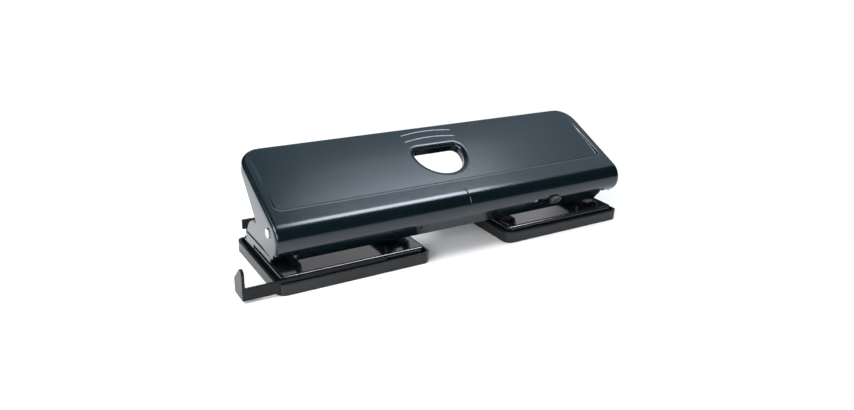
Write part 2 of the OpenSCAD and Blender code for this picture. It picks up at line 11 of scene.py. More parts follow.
import bmesh
import bpy
from mathutils import Matrix, Vector

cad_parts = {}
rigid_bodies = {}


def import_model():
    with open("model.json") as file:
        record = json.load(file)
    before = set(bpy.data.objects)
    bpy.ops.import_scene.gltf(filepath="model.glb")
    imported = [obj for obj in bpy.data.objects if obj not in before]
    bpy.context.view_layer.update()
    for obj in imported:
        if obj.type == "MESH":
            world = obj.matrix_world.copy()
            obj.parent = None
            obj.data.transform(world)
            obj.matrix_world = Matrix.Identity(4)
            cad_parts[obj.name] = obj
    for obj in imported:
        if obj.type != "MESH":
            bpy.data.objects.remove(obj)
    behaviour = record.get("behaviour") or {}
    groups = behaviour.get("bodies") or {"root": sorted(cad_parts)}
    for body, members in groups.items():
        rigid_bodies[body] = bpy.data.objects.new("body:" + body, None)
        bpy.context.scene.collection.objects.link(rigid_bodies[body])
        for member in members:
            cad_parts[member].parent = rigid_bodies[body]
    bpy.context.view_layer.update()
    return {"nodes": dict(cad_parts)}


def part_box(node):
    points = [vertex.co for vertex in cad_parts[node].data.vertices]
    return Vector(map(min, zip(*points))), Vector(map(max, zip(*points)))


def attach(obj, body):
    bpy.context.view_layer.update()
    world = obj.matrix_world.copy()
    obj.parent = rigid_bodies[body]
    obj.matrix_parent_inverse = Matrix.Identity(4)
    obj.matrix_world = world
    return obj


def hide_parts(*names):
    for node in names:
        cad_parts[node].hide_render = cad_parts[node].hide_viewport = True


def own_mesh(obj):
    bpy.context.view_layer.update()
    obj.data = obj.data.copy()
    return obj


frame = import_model()
MM = 0.001


def box_mm(node):
    """A CAD node's lowest and highest corner in millimetres."""
    low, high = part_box(node)
    return low / MM, high / MM


# %% [markdown]
# ## Shader maths as plain expressions
# A finish is a small formula: a colour that drifts, a roughness that varies, a bump. Dozens of linked
# nodes hide that formula, so one small class lets it be written as Python. An operator on a value adds
# a Math node, and `make` adds any other node: its settings first, then its sockets.

# %% The shader class
class Shade:
    """One socket of a node tree, with operators that add Math nodes."""

    def __init__(self, tree, socket):
        self.tree, self.socket = tree, socket

    def make(self, kind, settings=None, out=0, **inputs):
        """Adds a node. Its sockets go by name, or as i0, i1 and so on by number."""
        node = self.tree.nodes.new(kind)
        for name, value in (settings or {}).items():
            setattr(node, name, value)
        for name, value in inputs.items():
            numbered = name[0] == "i" and name[1:].isdigit()
            socket = node.inputs[int(name[1:]) if numbered else name.replace("_", " ")]
            if isinstance(value, Shade):
                self.tree.links.new(value.socket, socket)
            else:
                socket.default_value = value
        return Shade(self.tree, node.outputs[out])

    def maths(self, operation, a, b):
        return self.make("ShaderNodeMath", {"operation": operation}, i0=a, i1=b)

    def __add__(self, other):
        return self.maths("ADD", self, other)

    def __sub__(self, other):
        return self.maths("SUBTRACT", self, other)

    def __mul__(self, other):
        return self.maths("MULTIPLY", self, other)

    def __truediv__(self, other):
        return self.maths("DIVIDE", self, other)

    def __rsub__(self, other):
        return self.maths("SUBTRACT", other, self)

    def __rtruediv__(self, other):
        return self.maths("DIVIDE", other, self)

    __radd__ = __add__
    __rmul__ = __mul__

    def smooth(self, low, high):
        """0 below low, 1 above high, and an even S between them."""
        return self.make("ShaderNodeMapRange", {"interpolation_type": "SMOOTHSTEP"},
                         Value=self, From_Min=low, From_Max=high)

    def blend(self, first, second):
        """A colour mix, from first at 0 to second at 1. Sockets 6 and 7 hold the colours."""
        return self.make("ShaderNodeMix", {"data_type": "RGBA"}, out=2, i0=self, i6=first, i7=second)


def rgb(red, green, blue):
    return (red, green, blue, 1.0)


def new_finish(name, **sockets):
    """A Principled material. Returns the material, its shader node and a Shade of its Object coordinates."""
    material = bpy.data.materials.new(name)
    material.use_nodes = True
    tree = material.node_tree
    shader = tree.nodes["Principled BSDF"]
    for socket, value in sockets.items():
        shader.inputs[socket.replace("_", " ")].default_value = value
    place = tree.nodes.new("ShaderNodeTexCoord").outputs["Object"]
    return material, shader, Shade(tree, place)


def feed(shader, **sockets):
    for name, value in sockets.items():
        value.tree.links.new(value.socket, shader.inputs[name.replace("_", " ")])


def grain(place, scale, detail=2.0, rough=0.5):
    """Fractal noise in object space, scale in features per metre."""
    return place.make("ShaderNodeTexNoise", Vector=place, Scale=scale, Detail=detail, Roughness=rough)


def stored(place, name):
    """A number that the mesh keeps on its points, from the attribute's Factor output."""
    return place.make("ShaderNodeAttribute", {"attribute_name": name}, out=2)


def bump(place, height, depth, strength=1.0):
    """A normal from a height field; depth is the height's span in metres."""
    return place.make("ShaderNodeBump", Height=height, Distance=depth, Strength=strength)


print("shader class ready")

# %% [markdown]
# ## Handle paint
# The handle is baked enamel on pressed steel: nearly black with a cold blue tint, and satin.
# Paint is never quite even. It has a slight orange-peel ripple, tiny dust pimples and a slow drift in
# gloss where hands polish it. All three come from noise at different scales, so no image is needed.
# Two numbers stored on the sheet's points say where the pressed panel lies, which has no clear coat, and
# where the fine bead in front of it is painted lighter: a painted highlight for the thread of light it
# catches.
# The other black finishes are made alike.

# %% Finish: enamels and blackened steel
def satin_enamel():
    """Paint of the handle and the side plates."""
    material, shader, place = new_finish(
        "satin_enamel", Specular_IOR_Level=0.46, Specular_Tint=rgb(0.8, 0.9, 1.0),
        Coat_Roughness=0.13, Coat_IOR=1.5)
    drift = grain(place, 22, 3)
    ripple = grain(place, 900, 2)
    dust = grain(place, 5200, 1)
    # The second stored number marks the fine bead, whose lighter colour below is a painted highlight.
    panel, painted_bead_highlight = stored(place, "panel"), stored(place, "painted_bead_highlight")
    colour = drift.smooth(0.3, 0.7).blend(rgb(0.0018, 0.0058, 0.0076), rgb(0.0024, 0.0072, 0.0092))
    # Painted highlight: the bead in front of the panel is painted lighter for the thread of light it
    # catches.
    colour = painted_bead_highlight.blend(colour, rgb(0.05, 0.052, 0.055))
    feed(shader,
         Base_Color=dust.smooth(0.66, 0.8).blend(colour, rgb(0.012, 0.02, 0.027)),
         Roughness=0.15 + 0.03 * panel + 0.05 * drift + 0.03 * dust,
         Coat_Weight=(0.16 + 0.1 * drift) * (1 - panel),
         Normal=bump(place, ripple * 0.7 + dust * 0.3, 0.00002))
    return material


def gloss_enamel():
    """Black stove enamel of the base plates and brackets: deeper and glossier than the handle's."""
    material, shader, place = new_finish("gloss_enamel", Coat_Roughness=0.05, Coat_IOR=1.5)
    drift = grain(place, 35, 3)
    ripple = grain(place, 700, 1)
    specks = grain(place, 4200, 1)
    feed(shader,
         Base_Color=specks.smooth(0.68, 0.8).blend(rgb(0.006, 0.008, 0.009),
                                                   rgb(0.022, 0.026, 0.028)),
         Roughness=0.09 + 0.06 * drift,
         Coat_Weight=0.5 + 0.3 * drift,
         Normal=bump(place, ripple * 0.8 + specks * 0.2, 0.000012))
    return material


def blackened_steel():
    """Chemically blackened steel of the hidden rails: dull, with a brown cast and worn patches."""
    material, shader, place = new_finish("blackened_steel")
    cloud = grain(place, 60, 4)
    pits = grain(place, 2600, 2)
    feed(shader,
         Base_Color=cloud.smooth(0.35, 0.7).blend(rgb(0.02, 0.02, 0.022), rgb(0.045, 0.043, 0.042)),
         Metallic=0.25 + 0.3 * cloud,
         Roughness=0.38 + 0.18 * pits,
         Normal=bump(place, pits, 0.00003))
    return material


handle_paint = satin_enamel()
base_enamel = gloss_enamel()
rail_black = blackened_steel()
print("enamels:", handle_paint.name, base_enamel.name, rail_black.name)

# %% [markdown]
# ## Plastics and bright steel
# The trays and the guide are moulded in charcoal plastic with a spark-eroded grain, which is what keeps
# them dull. The pins, springs, rivets and the axle are plain steel: turned or drawn, so their fine lines
# follow the tool. Stretched noise gives such lines without a single texture file.

# %% Finish: grained plastic and bright steel
def grained_plastic(name, dark, light, roughness, shine=0.5):
    """Moulded plastic between two close colours, with the mould's grain in its surface."""
    material, shader, place = new_finish(name, Specular_IOR_Level=shine)
    cloud = grain(place, 40, 3)
    erosion = place.make("ShaderNodeTexVoronoi", {"feature": "F1"}, Vector=place, Scale=1500.0)
    fine = grain(place, 3200, 2)
    feed(shader,
         Base_Color=cloud.smooth(0.3, 0.7).blend(dark, light),
         Roughness=roughness + 0.12 * fine - 0.05 * cloud,
         Normal=bump(place, erosion * 0.6 + fine * 0.4, 0.00005, 0.6))
    return material


def bright_steel():
    """Bare steel with fine tool lines and a slight stain."""
    material, shader, place = new_finish("bright_steel")
    stretched = place.make("ShaderNodeMapping", Vector=place, Scale=(900.0, 900.0, 12000.0))
    lines = place.make("ShaderNodeTexNoise", Vector=stretched, Scale=1.0, Detail=2.0)
    stain = grain(place, 90, 3)
    feed(shader,
         Base_Color=stain.smooth(0.35, 0.75).blend(rgb(0.62, 0.62, 0.63), rgb(0.48, 0.47, 0.46)),
         Metallic=1.0 - 0.12 * stain,
         Roughness=0.2 + 0.16 * lines + 0.08 * stain,
         Normal=bump(place, lines, 0.00001))
    return material


tray_plastic = grained_plastic(
    "charcoal_plastic", rgb(0.006, 0.0085, 0.0098), rgb(0.009, 0.0118, 0.0133), 0.28, 0.34)
guide_plastic = grained_plastic(
    "guide_plastic", rgb(0.003, 0.0045, 0.0055), rgb(0.005, 0.007, 0.008), 0.28, 0.2)
knob_plastic = grained_plastic(
    "knob_plastic", rgb(0.02, 0.022, 0.023), rgb(0.032, 0.034, 0.035), 0.34)
steel = bright_steel()
print("plastics and steel:", tray_plastic.name, knob_plastic.name, steel.name)

# %% [markdown]
# ## From points to a finished piece
# Every piece ends the same way: one mesh at the origin, smooth over its curves and crisp at its folds,
# riding on a body of the frame. Doing that in one function keeps the later cells about shape only.

# %% Helpers for meshes
CRISP = radians(38)
CRISP_ROUND = radians(60)
WELD, WELD_SHEET, SLIVER = 0.002, 0.004, 0.002
FLAT = radians(0.4)
CORNER_ANGLE = 40


def finish_mesh(mesh, material, crisp=CRISP):
    """Gives a mesh its material, smooth shading, and sharp edges where faces meet at more than crisp."""
    mesh.materials.clear()
    mesh.materials.append(material)
    mesh.shade_smooth()
    mesh.set_sharp_from_angle(angle=crisp)
    mesh.update()


def evaluated(obj):
    """The object's mesh with its modifiers applied, as a new plain mesh."""
    bpy.context.view_layer.update()
    graph = bpy.context.evaluated_depsgraph_get()
    return bpy.data.meshes.new_from_object(obj.evaluated_get(graph))


def place_piece(name, mesh, body, nodes=()):
    """Links a finished mesh as a piece that rides on body and stands for the CAD nodes."""
    piece = bpy.data.objects.new(name, mesh)
    bpy.context.collection.objects.link(piece)
    for node in nodes:
        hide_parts(node)
    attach(piece, body)
    return piece


def with_modifiers(mesh, *modifiers):
    """Applies (type, settings) modifiers to a mesh and returns the result as a plain mesh."""
    carrier = bpy.data.objects.new("carrier", mesh)
    bpy.context.collection.objects.link(carrier)
    for kind, settings in modifiers:
        modifier = carrier.modifiers.new(kind.lower(), kind)
        for name, value in settings.items():
            setattr(modifier, name, value)
    result = evaluated(carrier)
    bpy.data.objects.remove(carrier)
    return result


def rounded(width, steps):
    """Settings of a bevel that takes only real corners, not the facets of a curve."""
    return ("BEVEL", {"width": width * MM, "segments": steps, "limit_method": "ANGLE",
                      "angle_limit": radians(CORNER_ANGLE), "use_clamp_overlap": True})


def merged_copy(node):
    """A CAD node's loose triangles as one mesh, with flat areas joined into single faces."""
    mesh = frame["nodes"][node].data.copy()
    work = bmesh.new()
    work.from_mesh(mesh)
    bmesh.ops.remove_doubles(work, verts=work.verts, dist=WELD * MM)
    bmesh.ops.dissolve_limit(work, angle_limit=FLAT, verts=work.verts, edges=work.edges)
    work.to_mesh(mesh)
    work.free()
    return mesh


def dress(node, body, material, edge, steps=2):
    """Stands a copy of a CAD node with rounded edges and a finish in the node's place."""
    mesh = with_modifiers(merged_copy(node), rounded(edge, steps))
    finish_mesh(mesh, material)
    mesh = with_modifiers(mesh, ("WEIGHTED_NORMAL", {"keep_sharp": True, "weight": 100}))
    return place_piece(node + "_dressed", mesh, body, [node])


print("mesh helpers ready")

# %% [markdown]
# ## The handle's sheet as one rule
# The handle is one blank of steel, folded over a round nose and turned down on three sides. Cutting it
# from a block would give knife edges. A sheet is better made as a map: u runs along the punch, s runs
# over the sheet from the back edge, round the nose and down the apron. One function turns (u, s) into a
# point and its normal, and everything pressed into the sheet is a small height along that normal.

# %% Sizes of the handle
SLOPE = radians(25)
NOSE_R = 11.0
TOP_LEN = 63.5
SHEET = 1.2
BEND = 2.0
BACK_R = 13.0
SKIRT = 7.0
APRON = 10.4
APRON_END = 11.5
APRON_RELIEF = 0.8
NOSE_WRAP = 190
END_WRAP = 210

handle_low, handle_high = box_mm("handle_shell")
FRAME_X = (handle_low.x + handle_high.x) / 2
HALF = (handle_high.x - handle_low.x) / 2
NOSE_Y = handle_low.y + NOSE_R
NOSE_Z = handle_high.z - TOP_LEN * sin(SLOPE) - NOSE_R * cos(SLOPE)
NOSE_LEN = NOSE_R * radians(NOSE_WRAP - 90)
END_LEN = NOSE_R * radians(END_WRAP - 90)
INNER_U = HALF - BEND
CORNER_V = TOP_LEN - BACK_R
APRON_U = HALF - APRON_END


def on_handle(u, v, w):
    """A point of the handle's own axes (v up the slope, w square to it) in the frame, in metres."""
    return Vector((FRAME_X + u, NOSE_Y + v * cos(SLOPE) - w * sin(SLOPE),
                   NOSE_Z + v * sin(SLOPE) + w * cos(SLOPE))) * MM


def sheet_line(s, straight):
    """Point and normal, in v and w, at s along the sheet; straight ends the nose in the flat apron."""
    if s <= 0:
        return (-s, NOSE_R), (0.0, 1.0)
    turn = pi / 2 + s / NOSE_R
    if s <= NOSE_LEN or not straight:
        return (NOSE_R * cos(turn), NOSE_R * sin(turn)), (cos(turn), sin(turn))
    last = radians(NOSE_WRAP)
    out, down, rest = (cos(last), sin(last)), (-sin(last), cos(last)), s - NOSE_LEN
    return tuple(NOSE_R * o + rest * d for o, d in zip(out, down)), out


print(f"handle {2 * HALF:.1f} mm long, nose axis at y {NOSE_Y:.2f}, z {NOSE_Z:.2f}")

# %% [markdown]
# ## What is pressed into the sheet
# The top has a panel that sinks a good millimetre at its front edge and fades out towards the back, a
# fine bead in front of that edge, two raised arcs behind the finger hole, and a centre mark on the nose
# for lining up the paper. Each one is a distance passed through a small curve, so the press marks have
# the soft shoulders that a die leaves, whatever the grid underneath.

# %% Heights of the press marks
PANEL_V, PANEL_FADE, PANEL_SINK, PANEL_BORDER, PANEL_R = 10.2, 38.0, 1.2, 5.5, 5.0
PANEL_STEP, PANEL_SIDE, PANEL_EASE, PANEL_RIM = 1.2, 2.4, 0.3, 0.9
BEAD_W, BEAD_H, BEAD_FADE = 1.0, 0.02, 6.0
RIB_PLACES, RIB_R, RIB_HALF, RIB_TAPER, RIB_W, RIB_H = (53.4, 59.6), 96.0, 20.0, 1.2, 1.2, 0.13
FINGER_HALF, FINGER_V, FINGER_BACK, FINGER_CORNER = 18.0, 37.6, 6.0, 5.0
ROLL_W, ROLL_DEEP = 3.4, 2.4
MARK_W, MARK_DEEP, MARK_V, MARK_TO = 0.8, 0.32, 3.15, 140
MARK_BED, MARK_EDGE = 0.2 * MARK_W, 0.7 * MARK_W


def smooth(low, high, value):
    """0 below low, 1 above high, and an even S between them."""
    t = min(1.0, max(0.0, (value - low) / (high - low)))
    return t * t * (3 - 2 * t)


def panel_inside(u, v):
    """Distance from (u, v) in to the edge of the panel, below 0 outside it."""
    du = abs(u) - HALF + PANEL_BORDER + PANEL_R
    dv = abs(v - PANEL_V - PANEL_FADE) - PANEL_FADE + PANEL_R
    return PANEL_R - hypot(max(du, 0), max(dv, 0)) - min(max(du, dv), 0)


def panel_depth(u, v):
    """How far the panel has sunk at (u, v)."""
    rest = 1 - (v - PANEL_V) / PANEL_FADE
    if abs(rest) < PANEL_EASE:
        rest = (rest + PANEL_EASE) ** 2 / (4 * PANEL_EASE)
    side = max(0.0, HALF - PANEL_BORDER - abs(u)) / PANEL_SIDE
    step = min(1.0, max(0.0, panel_inside(u, v) / PANEL_STEP))
    return PANEL_SINK * min(max(0.0, rest), side) * step


def bead(u, v):
    """Share, 0 to 1, of a fine bead that the press raises in front of the panel's step."""
    away = (panel_inside(u, v) + BEAD_W / 2) / (BEAD_W / 2)
    return max(0.0, 1 - away ** 2) * (1 - smooth(PANEL_V, PANEL_V + BEAD_FADE, v))


def rib_height(u, v):
    """Height of the two grip ribs, which are arcs of a large circle and taper off at their ends."""
    taper = 1 - smooth(RIB_HALF - RIB_TAPER, RIB_HALF, abs(u))
    height = 0.0
    for place in RIB_PLACES:
        across = abs(v - (place - RIB_R + sqrt(RIB_R ** 2 - u ** 2)))
        height += RIB_H * max(0.0, 1 - (2 * across / RIB_W) ** 2) * taper
    return height


def finger_edge(u, v):
    """Signed distance to the finger hole's outline, below 0 inside, and the way out of it."""
    du, dv = u, v - FINGER_V
    if dv <= 0:
        reach = hypot(du, dv)
        return reach - FINGER_HALF, (du / reach if reach else 1.0, dv / reach if reach else 0.0)
    corner_u, corner_v = FINGER_HALF - FINGER_CORNER, FINGER_BACK - FINGER_CORNER
    qu, qv = abs(du) - corner_u, dv - corner_v
    side = 1 if du >= 0 else -1
    if qu > 0 and qv > 0:
        reach = hypot(qu, qv)
        return reach - FINGER_CORNER, (side * qu / reach, qv / reach)
    if qu > qv:
        return qu - FINGER_CORNER, (side, 0.0)
    return qv - FINGER_CORNER, (0.0, 1.0)


def finger_roll(distance):
    """How far the sheet has rolled down at a distance from the finger hole's outline."""
    t = min(1.0, max(0.0, 1 - distance / ROLL_W))
    return ROLL_DEEP * (1 - sqrt(1 - t ** 2))


def press_mark(u, s):
    """Height of the sheet above its plain form."""
    groove = 1 - smooth(MARK_BED, MARK_EDGE, abs(u))
    if s < -MARK_V:
        height = rib_height(u, -s) if abs(u) < RIB_R / 2 else 0.0
        return height + BEAD_H * bead(u, -s) - panel_depth(u, -s) - finger_roll(finger_edge(u, -s)[0])
    if s < 0:
        return groove * (sqrt((NOSE_R - MARK_DEEP) ** 2 - s ** 2) - NOSE_R)
    return -MARK_DEEP * groove if s < NOSE_R * radians(MARK_TO - 90) else 0.0


def sheet_point(u, s):
    """The v, w and normal of a point of the sheet's outer face."""
    (v, w), normal = sheet_line(s, abs(u) <= APRON_U)
    if s < -CORNER_V and abs(u) > HALF - BACK_R:
        reach = sqrt(max(0.0, (BACK_R - BEND) ** 2 - (abs(u) - HALF + BACK_R) ** 2))
        v = CORNER_V + (v - CORNER_V) * reach / (BACK_R - BEND)
    height = press_mark(u, -v if s < 0 else s)
    v, w = v + height * normal[0], w + height * normal[1]
    return v, w, normal


print(f"panel sinks {panel_depth(0, PANEL_V + 3):.2f} mm just behind its front edge")

# %% [markdown]
# ## A grid that is fine only where it must be
# A panel step needs a point every quarter of a millimetre, and the plain areas one every few. So the
# lines of the grid come from a list of stretches, each with its own step. The finger hole, the lock's
# slot and the small slit drop the faces inside their outlines, and the points left on the rim are
# pulled on to the true curve. That leaves clean holes without a boolean.

# %% Grid lines and cut-outs
FINGER_CUT = 0.9
LOCK_TURN = 187
LOCK_S = NOSE_R * radians(LOCK_TURN - 90)
LOCK_U0, LOCK_LEN, LOCK_H = 52.7, 23.4, 4.4
SLIT_U, SLIT_S, SLIT_W, SLIT_H = -34.8, LOCK_S + 2.5, 1.2, 3.0
CLOSEST_LINES = 0.06
SLACK = 0.01


def stretches(*parts):
    """Sorted grid lines from (start, end, step) stretches."""
    lines = set()
    for start, end, step in parts:
        count = max(1, ceil((end - start) / step))
        lines |= {round(start + (end - start) * k / count, 4) for k in range(count + 1)}
    lines = sorted(lines)
    kept = [lines[0]]
    for line in lines[1:]:
        if line - kept[-1] > CLOSEST_LINES:
            kept.append(line)
    return kept


def mirrored(*parts):
    """The same stretches on both sides of the middle."""
    return [*parts, *[(-end, -start, step) for start, end, step in parts]]


# Along u: the centre mark, the finger hole, the panel's sides, the lock's slot and the slit.
MARK_END, FINGER_END, SIDE_FROM, SIDE_TO = 0.75, 22.25, 121.6, 125.4
LOCK_ZONE, SLIT_ZONE = (51.5, 77.5), (-36.6, -33.0)
grid_u = stretches(
    *mirrored((0, MARK_END, 0.15), (MARK_END, FINGER_END, 0.5), (FINGER_END, APRON_U, 2.9),
              (APRON_U, SIDE_FROM, 1.2), (SIDE_FROM, SIDE_TO, 0.3), (SIDE_TO, INNER_U, 0.7)),
    (*LOCK_ZONE, 0.6), (*SLIT_ZONE, 0.3))
# Along s: the ribs, the finger hole, the panel's front step, the nose, and the lock's slot with the slit.
FINGER_FRONT, STEP_FROM, STEP_TO, LOCK_FROM, LOCK_TO = -15.5, -13.5, -8.4, 14.6, 21.6
grid_s = stretches(
    (BEND - TOP_LEN, -CORNER_V, 0.3), (-CORNER_V, FINGER_FRONT, 0.6), (FINGER_FRONT, STEP_FROM, 1.0),
    (STEP_FROM, STEP_TO, 0.25), (STEP_TO, 0, 1.2), (0, LOCK_FROM, 0.62), (LOCK_FROM, NOSE_LEN, 0.4))
apron_s = stretches((NOSE_LEN, LOCK_TO, 0.4), (LOCK_TO, NOSE_LEN + APRON, 1.4))
end_s = stretches((NOSE_LEN, END_LEN, 0.6))


def lock_edge(u, s):
    """The finger hole's signed distance and way out, for the lock's round-ended slot."""
    half = (LOCK_LEN - LOCK_H) / 2
    du, ds = u - LOCK_U0 - LOCK_LEN / 2, s - LOCK_S
    past = du - min(half, max(-half, du))
    reach = hypot(past, ds)
    return reach - LOCK_H / 2, (past / reach if reach else 0.0, ds / reach if reach else 1.0)


def slit_edge(u, s):
    """The same for the upright slit in the apron."""
    du, ds = abs(u - SLIT_U) - SLIT_W / 2, abs(s - SLIT_S) - SLIT_H / 2
    if du > ds:
        return du, (1.0 if u > SLIT_U else -1.0, 0.0)
    return ds, (0.0, 1.0 if s > SLIT_S else -1.0)


CUTS = (
    (lambda u, s: finger_edge(u, -s), FINGER_CUT, lambda way: (way[0], -way[1])),
    (lock_edge, 0.0, lambda way: way),
    (slit_edge, 0.0, lambda way: way),
)
print(len(grid_u), "lines along,", len(grid_s) + len(apron_s), "over the sheet")

# %% [markdown]
# ## Folding the edges down
# The turned-down band starts where the flat sheet stops: a quarter circle of the bend radius, and then a
# straight wall. At the back the wall is a low skirt. At the ends it runs down past the axle, so each rim
# point is joined to a partner on the wall's lower outline. That outline is three straight lines with one
# rounded corner, below the axle.

# %% Lower outline of the end walls
FRONT_R, FRONT_TURN = NOSE_R + 0.7, radians(231)
WALL_FRONT = (FRONT_R * cos(FRONT_TURN), FRONT_R * sin(FRONT_TURN))
WALL_LOW, WALL_LOW_R, LOW_STEPS = (4.8, -17.4), 4.0, 8
WALL_BACK = (TOP_LEN - 14, NOSE_R - SKIRT)


def rounded_corner(corner, before, after, radius, steps):
    """Points that round a corner between the lines to its two neighbours."""
    p, a, b = Vector(corner), Vector(before), Vector(after)
    to_a, to_b = (a - p).normalized(), (b - p).normalized()
    half = to_a.angle(to_b) / 2
    middle = p + (to_a + to_b).normalized() * radius / sin(half)
    start = p + to_a * radius / tan(half) - middle
    end = p + to_b * radius / tan(half) - middle
    return [tuple(middle + start.slerp(end, k / steps)) for k in range(steps + 1)]


low_corner = rounded_corner(WALL_LOW, WALL_FRONT, WALL_BACK, WALL_LOW_R, LOW_STEPS)
low_front, low_back = low_corner[:LOW_STEPS // 2 + 1], low_corner[LOW_STEPS // 2:]


def polyline(points):
    """A function of 0 to 1 along a run of straight stretches."""
    lengths = [hypot(b[0] - a[0], b[1] - a[1]) for a, b in zip(points, points[1:])]

    def at(t):
        rest = t * sum(lengths)
        for (a, b), length in zip(zip(points, points[1:]), lengths):
            if rest <= length or b is points[-1]:
                k = min(1.0, rest / length)
                return a[0] + (b[0] - a[0]) * k, a[1] + (b[1] - a[1]) * k
            rest -= length
    return at


def crossing(start, way, a, b):
    """Where the line from start along way meets the line through a and b."""
    along = (b[0] - a[0], b[1] - a[1])
    k = (a[0] - start[0]) * way[1] - (a[1] - start[1]) * way[0]
    k /= along[1] * way[0] - along[0] * way[1]
    return a[0] + k * along[0], a[1] + k * along[1]


last_turn = radians(END_WRAP)
rim_tip = ((NOSE_R - BEND) * cos(last_turn), (NOSE_R - BEND) * sin(last_turn))
FAN_START = crossing(rim_tip, (-sin(last_turn), cos(last_turn)), WALL_FRONT, low_corner[0])


def wall_target(s, fan):
    """Partner of a rim point on the lower outline; fan turns the last one on to the front corner."""
    if fan:
        return tuple(a + (b - a) * fan for a, b in zip(FAN_START, WALL_FRONT))
    if s >= 0:
        return polyline([*reversed(low_front), FAN_START])(s / END_LEN)
    return polyline([*low_back, WALL_BACK, (CORNER_V, NOSE_R - SKIRT)])(-s / CORNER_V)


print(f"the end walls reach {-min(point[1] for point in low_corner):.1f} mm below the nose axis")

# %% [markdown]
# ## Patches that share their points
# The sheet is made of four patches of the grid: the top with the nose, the apron below it, and a short
# strip at each end where the nose rolls on. Every point is stored under its grid key, so that patches
# that meet use the same point and the sheet has no seams.

# %% Build the sheet
RIM_REACH = 1.2


class Skin:
    """Collects points by key, so that neighbouring patches share them."""

    def __init__(self):
        self.points, self.index, self.faces = [], {}, []

    def point(self, key, place):
        if key not in self.index:
            self.index[key] = len(self.points)
            self.points.append(place)
        return self.index[key]

    def quad(self, *corners):
        """Adds a face, as a triangle where two of its corners are one point."""
        ring = [c for k, c in enumerate(corners) if c != corners[k - 1]]
        if len(ring) > 2:
            self.faces.append(ring)


skin = Skin()
kept, dropped = [], set()


def inside_cut(u, s):
    return any(edge(u, s)[0] < grow for edge, grow, _ in CUTS)


def add_patch(us, ss):
    """Sorts the quads of one patch of the grid into those that stay and those inside a cut-out."""
    for u0, u1 in zip(us, us[1:]):
        for s0, s1 in zip(ss, ss[1:]):
            corners = ((u0, s0), (u1, s0), (u1, s1), (u0, s1))
            if inside_cut((u0 + u1) / 2, (s0 + s1) / 2):
                dropped.update(corners)
            else:
                kept.append(corners)


add_patch(grid_u, grid_s)
add_patch([u for u in grid_u if abs(u) <= APRON_U - APRON_RELIEF], apron_s)
for side in (-1, 1):
    add_patch([u for u in grid_u if side * u >= APRON_U - SLACK], end_s)


def settle(u, s):
    """Pulls a rim point of a cut-out on to the cut-out's curve."""
    if (u, s) in dropped:
        for edge, grow, turn in CUTS:
            distance, way = edge(u, s)
            if abs(distance - grow) < RIM_REACH:
                way = turn(way)
                return u + (grow - distance) * way[0], s + (grow - distance) * way[1]
    return u, s


def skin_point(u, s):
    """Number of the sheet's point for a place of the grid."""
    rim_u, rim_s = settle(u, s)
    v, w, _ = sheet_point(rim_u, rim_s)
    if abs(u) >= APRON_U - SLACK and s > NOSE_LEN:
        (v, w), _ = sheet_line(s, False)
    return skin.point((u, s), on_handle(rim_u, v, w))


for corners in kept:
    skin.quad(*[skin_point(u, s) for u, s in corners])
print(len(skin.faces), "faces in the sheet")

# %% [markdown]
# ## The rim of the sheet
# Walking once round the open edge, from the nose's end on the left, along the back, to the nose's end on
# the right, gives the points where the band starts. The way out of the sheet turns with the back corners.
# At both nose ends the wall turns a corner, so a few extra columns fan out from the last rim point. The
# back edge is folded tighter than the ends: a power below 1 squares the quarter circle up.

# %% Fold the band down
BEND_STEPS, WALL_STEPS = 6, 5
FANS = (0.25, 0.5, 0.75, 1.0)
BACK_FOLD = 0.3
rim_path = [(-INNER_U, end_s[-1], fan) for fan in reversed(FANS)]
rim_path += [(-INNER_U, s, 0) for s in reversed(end_s[1:])]
rim_path += [(-INNER_U, s, 0) for s in reversed(grid_s) if s >= -CORNER_V]
rim_path += [(u, grid_s[0], 0) for u in grid_u[1:-1]]
rim_path += [(INNER_U, s, 0) for s in grid_s if s >= -CORNER_V]
rim_path += [(INNER_U, s, 0) for s in end_s[1:]]
rim_path += [(INNER_U, end_s[-1], fan) for fan in FANS]


def rim_frame(u, s):
    """Way out, in u and v, and whether the wall below is a skirt."""
    if s > grid_s[0] or abs(u) >= INNER_U:
        return (1.0 if u > 0 else -1.0, 0.0), False
    past = abs(u) - (HALF - BACK_R)
    if past <= 0:
        return (0.0, 1.0), True
    lean = past / (BACK_R - BEND)
    return ((1 if u > 0 else -1) * lean, sqrt(1 - lean ** 2)), True


columns = []
for u, s, fan in rim_path:
    if s <= NOSE_LEN:
        v, w, normal = sheet_point(u, s)
    else:
        (v, w), normal = sheet_line(s, False)
    out, skirt = rim_frame(u, s)
    column = [skin.point((u, s), on_handle(u, v, w))]
    fold = abs(out[0]) + BACK_FOLD * (1 - abs(out[0])) if skirt else 1.0
    for k in range(1, BEND_STEPS + 1):
        turn = pi / 2 * k / BEND_STEPS
        away, sink = BEND * sin(turn) ** fold, BEND * (max(0.0, cos(turn)) ** fold - 1)
        pu, pv, pw = u + away * out[0], v + away * out[1] + sink * normal[0], w + sink * normal[1]
        column.append(skin.point(("bend", u, s, k), on_handle(pu, pv, pw)))
    if skirt:
        target = pv - (SKIRT - BEND) * normal[0], pw - (SKIRT - BEND) * normal[1]
    else:
        target = wall_target(s, fan)
    for k in range(1, WALL_STEPS + 1):
        t = k / WALL_STEPS
        place = on_handle(pu, pv + (target[0] - pv) * t, pw + (target[1] - pw) * t)
        column.append(skin.point(("wall", u, s, k, fan), place))
    columns.append(column)
for first, second in zip(columns, columns[1:]):
    for k in range(len(first) - 1):
        skin.quad(first[k], second[k], second[k + 1], first[k + 1])
print(len(columns), "columns in the band,", len(skin.faces), "faces in all")

# %% [markdown]
# ## From skin to sheet metal
# The skin is only the outer face. The points keep two numbers for the paint, the mesh is welded where
# points fall together, and Solidify then adds the steel's thickness on the inside. Solidify goes by the
# normals, so these are made to agree first and turned to face upwards on the top.

